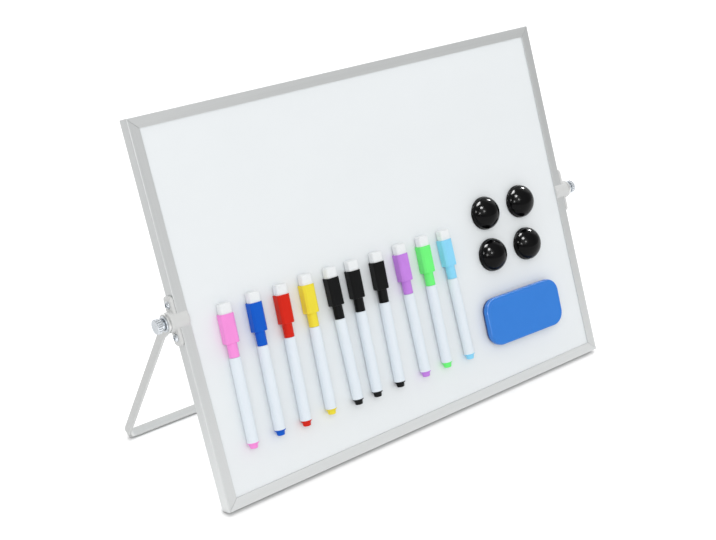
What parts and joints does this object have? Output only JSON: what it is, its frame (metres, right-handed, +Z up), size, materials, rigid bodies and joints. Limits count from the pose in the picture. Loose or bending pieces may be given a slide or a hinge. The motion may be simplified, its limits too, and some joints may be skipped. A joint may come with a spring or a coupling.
{
  "type": "magnetic desk whiteboard easel",
  "caption": "Two-sided magnetic whiteboard that turns in a U-shaped desk stand, clamped by thumb screws, with capped markers, dome magnets and an eraser on its face.",
  "frame": {"origin": "on the table, at the middle of the whole object's outline seen from above", "axes": "+Z up, +X along the board's width to the viewer's right, -Y out of the board's front face"},
  "size_m": [0.434, 0.1468, 0.2825],
  "materials": {
    "frame_aluminium": "satin anodised",
    "stand_strip": "satin anodised",
    "enamel": "smooth white enamel, low sheen",
    "core": "honeycomb board",
    "key_plastic": "moulded",
    "bracket_plastic": "semi-gloss moulded",
    "zinc": "bright zinc plate",
    "eraser_blue": "soft moulded foam",
    "dome_black": "high gloss",
    "barrel_white": "gloss",
    "felt": "dense felt",
    "ink_pink": "semi-gloss moulded",
    "ink_blue": "semi-gloss moulded",
    "ink_red": "semi-gloss moulded",
    "ink_yellow": "semi-gloss moulded",
    "ink_black": "semi-gloss moulded",
    "ink_purple": "semi-gloss moulded",
    "ink_green": "semi-gloss moulded",
    "ink_sky": "semi-gloss moulded"
  },
  "bodies": {
    "stand": {"stand_bar": "stand_strip", "pivot_washers": "zinc"},
    "board": {"top_rail": "frame_aluminium", "bottom_rail": "frame_aluminium", "left_rail": "frame_aluminium", "right_rail": "frame_aluminium", "corner_keys": "key_plastic", "front_sheet": "enamel", "core_board": "core", "rear_sheet": "enamel", "left_bracket": "bracket_plastic", "right_bracket": "bracket_plastic", "bracket_screws": "zinc"},
    "left_thumb_screw": {"left_thumb_screw": "zinc"},
    "right_thumb_screw": {"right_thumb_screw": "zinc"},
    "eraser": {"eraser": "eraser_blue"},
    "magnet_1": {"magnet_1": "dome_black"},
    "magnet_2": {"magnet_2": "dome_black"},
    "magnet_3": {"magnet_3": "dome_black"},
    "magnet_4": {"magnet_4": "dome_black"},
    "pink_marker": {"pink_barrel": "barrel_white", "pink_plug": "ink_pink"},
    "pink_cap": {"pink_cap": "ink_pink", "pink_felt": "felt"},
    "blue_marker": {"blue_barrel": "barrel_white", "blue_plug": "ink_blue"},
    "blue_cap": {"blue_cap": "ink_blue", "blue_felt": "felt"},
    "red_marker": {"red_barrel": "barrel_white", "red_plug": "ink_red"},
    "red_cap": {"red_cap": "ink_red", "red_felt": "felt"},
    "yellow_marker": {"yellow_barrel": "barrel_white", "yellow_plug": "ink_yellow"},
    "yellow_cap": {"yellow_cap": "ink_yellow", "yellow_felt": "felt"},
    "black_1_marker": {"black_1_barrel": "barrel_white", "black_1_plug": "ink_black"},
    "black_1_cap": {"black_1_cap": "ink_black", "black_1_felt": "felt"},
    "black_2_marker": {"black_2_barrel": "barrel_white", "black_2_plug": "ink_black"},
    "black_2_cap": {"black_2_cap": "ink_black", "black_2_felt": "felt"},
    "black_3_marker": {"black_3_barrel": "barrel_white", "black_3_plug": "ink_black"},
    "black_3_cap": {"black_3_cap": "ink_black", "black_3_felt": "felt"},
    "purple_marker": {"purple_barrel": "barrel_white", "purple_plug": "ink_purple"},
    "purple_cap": {"purple_cap": "ink_purple", "purple_felt": "felt"},
    "green_marker": {"green_barrel": "barrel_white", "green_plug": "ink_green"},
    "green_cap": {"green_cap": "ink_green", "green_felt": "felt"},
    "sky_marker": {"sky_barrel": "barrel_white", "sky_plug": "ink_sky"},
    "sky_cap": {"sky_cap": "ink_sky", "sky_felt": "felt"}
  },
  "joints": [
    {"name": "board_tilt", "type": "hinge", "parent": "stand", "child": "board", "pos_m": [0, -0.01284, 0.14127], "axis": [1, 0, 0], "continuous": true},
    {"name": "left_screw_turn", "type": "hinge", "parent": "board", "child": "left_thumb_screw", "pos_m": [-0.2121, -0.01284, 0.14127], "axis": [-1, 0, 0], "range_deg": [0, 360]},
    {"name": "right_screw_turn", "type": "hinge", "parent": "board", "child": "right_thumb_screw", "pos_m": [0.2121, -0.01284, 0.14127], "axis": [1, 0, 0], "range_deg": [0, 360]},
    {"name": "magnet_1_lift", "type": "slide", "parent": "board", "child": "magnet_1", "axis": [0, -0.9291, 0.3697], "range_m": [0, 0.08]},
    {"name": "magnet_2_lift", "type": "slide", "parent": "board", "child": "magnet_2", "axis": [0, -0.9291, 0.3697], "range_m": [0, 0.08]},
    {"name": "magnet_3_lift", "type": "slide", "parent": "board", "child": "magnet_3", "axis": [0, -0.9291, 0.3697], "range_m": [0, 0.08]},
    {"name": "magnet_4_lift", "type": "slide", "parent": "board", "child": "magnet_4", "axis": [0, -0.9291, 0.3697], "range_m": [0, 0.08]},
    {"name": "eraser_lift", "type": "slide", "parent": "board", "child": "eraser", "axis": [0, -0.9291, 0.3697], "range_m": [0, 0.08]},
    {"name": "pink_marker_lift", "type": "slide", "parent": "board", "child": "pink_marker", "axis": [0, -0.9291, 0.3697], "range_m": [0, 0.08]},
    {"name": "pink_cap_pull", "type": "slide", "parent": "pink_marker", "child": "pink_cap", "axis": [0.0436, 0.3694, 0.9282], "range_m": [0, 0.035]},
    {"name": "blue_marker_lift", "type": "slide", "parent": "board", "child": "blue_marker", "axis": [0, -0.9291, 0.3697], "range_m": [0, 0.08]},
    {"name": "blue_cap_pull", "type": "slide", "parent": "blue_marker", "child": "blue_cap", "axis": [0.0506, 0.3693, 0.9279], "range_m": [0, 0.035]},
    {"name": "red_marker_lift", "type": "slide", "parent": "board", "child": "red_marker", "axis": [0, -0.9291, 0.3697], "range_m": [0, 0.08]},
    {"name": "red_cap_pull", "type": "slide", "parent": "red_marker", "child": "red_cap", "axis": [0.0558, 0.3692, 0.9277], "range_m": [0, 0.035]},
    {"name": "yellow_marker_lift", "type": "slide", "parent": "board", "child": "yellow_marker", "axis": [0, -0.9291, 0.3697], "range_m": [0, 0.08]},
    {"name": "yellow_cap_pull", "type": "slide", "parent": "yellow_marker", "child": "yellow_cap", "axis": [0.0489, 0.3693, 0.928], "range_m": [0, 0.035]},
    {"name": "black_1_marker_lift", "type": "slide", "parent": "board", "child": "black_1_marker", "axis": [0, -0.9291, 0.3697], "range_m": [0, 0.08]},
    {"name": "black_1_cap_pull", "type": "slide", "parent": "black_1_marker", "child": "black_1_cap", "axis": [0.0209, 0.3697, 0.9289], "range_m": [0, 0.035]},
    {"name": "black_2_marker_lift", "type": "slide", "parent": "board", "child": "black_2_marker", "axis": [0, -0.9291, 0.3697], "range_m": [0, 0.08]},
    {"name": "black_2_cap_pull", "type": "slide", "parent": "black_2_marker", "child": "black_2_cap", "axis": [0.0401, 0.3694, 0.9284], "range_m": [0, 0.035]},
    {"name": "black_3_marker_lift", "type": "slide", "parent": "board", "child": "black_3_marker", "axis": [0, -0.9291, 0.3697], "range_m": [0, 0.08]},
    {"name": "black_3_cap_pull", "type": "slide", "parent": "black_3_marker", "child": "black_3_cap", "axis": [0.0489, 0.3693, 0.928], "range_m": [0, 0.035]},
    {"name": "purple_marker_lift", "type": "slide", "parent": "board", "child": "purple_marker", "axis": [0, -0.9291, 0.3697], "range_m": [0, 0.08]},
    {"name": "purple_cap_pull", "type": "slide", "parent": "purple_marker", "child": "purple_cap", "axis": [0.0209, 0.3697, 0.9289], "range_m": [0, 0.035]},
    {"name": "green_marker_lift", "type": "slide", "parent": "board", "child": "green_marker", "axis": [0, -0.9291, 0.3697], "range_m": [0, 0.08]},
    {"name": "green_cap_pull", "type": "slide", "parent": "green_marker", "child": "green_cap", "axis": [0.0279, 0.3696, 0.9288], "range_m": [0, 0.035]},
    {"name": "sky_marker_lift", "type": "slide", "parent": "board", "child": "sky_marker", "axis": [0, -0.9291, 0.3697], "range_m": [0, 0.08]},
    {"name": "sky_cap_pull", "type": "slide", "parent": "sky_marker", "child": "sky_cap", "axis": [0.007, 0.3697, 0.9291], "range_m": [0, 0.035]}
  ]
}
